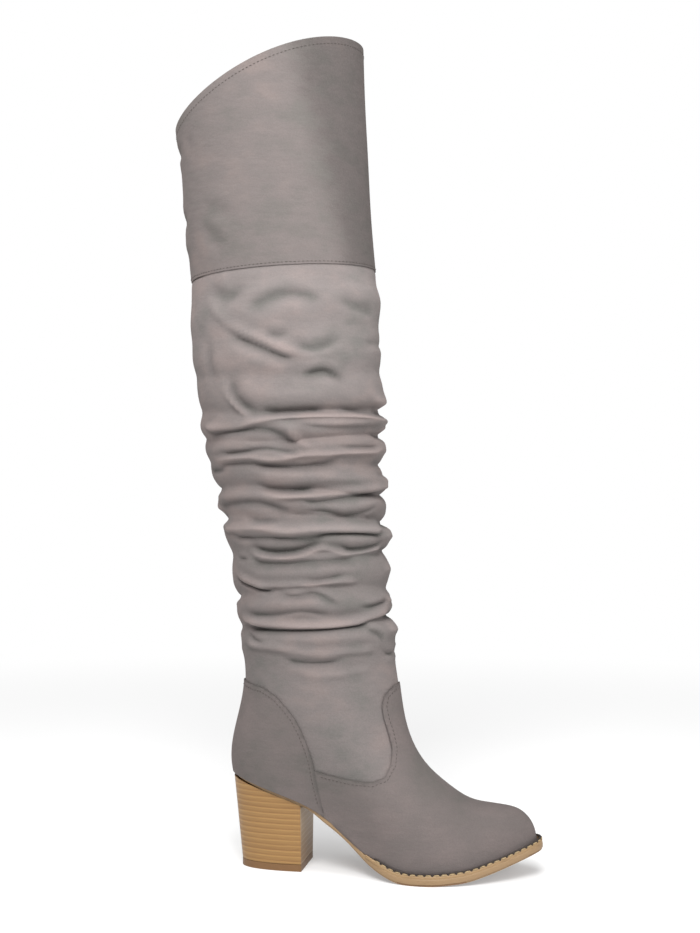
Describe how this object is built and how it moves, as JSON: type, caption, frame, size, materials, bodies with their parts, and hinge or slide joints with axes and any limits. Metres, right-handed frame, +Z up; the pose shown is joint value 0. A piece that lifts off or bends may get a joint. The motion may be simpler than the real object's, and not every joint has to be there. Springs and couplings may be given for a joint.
{
  "type": "thigh high boot",
  "caption": "Right over-the-knee boot with a slouched suede-look shaft, cuff band, heel counter, stacked block heel and stitched welt.",
  "frame": {"origin": "on the floor under the heel's tread, 21.5 mm ahead of the tread's back", "axes": "+Z up, +X towards the toe, +Y towards the inner side of the right foot"},
  "size_m": [0.2745, 0.1106, 0.606],
  "materials": {
    "suede": "napped faux suede, matt",
    "cuff_suede": "napped faux suede, matt",
    "panel_suede": "napped faux suede, matt",
    "lining": "smooth woven lining",
    "sole": "satin tan",
    "welt": "satin light tan with dark stitches",
    "heel_stack": "stacked layers under a satin varnish",
    "lift": "matt reddish brown"
  },
  "bodies": {
    "root": {"upper": "suede", "cuff": "cuff_suede", "counter": "panel_suede", "vamp": "panel_suede", "insole": "lining", "outsole": "sole", "welt": "welt", "heel": "heel_stack", "heel_lift": "lift"}
  },
  "joints": []
}
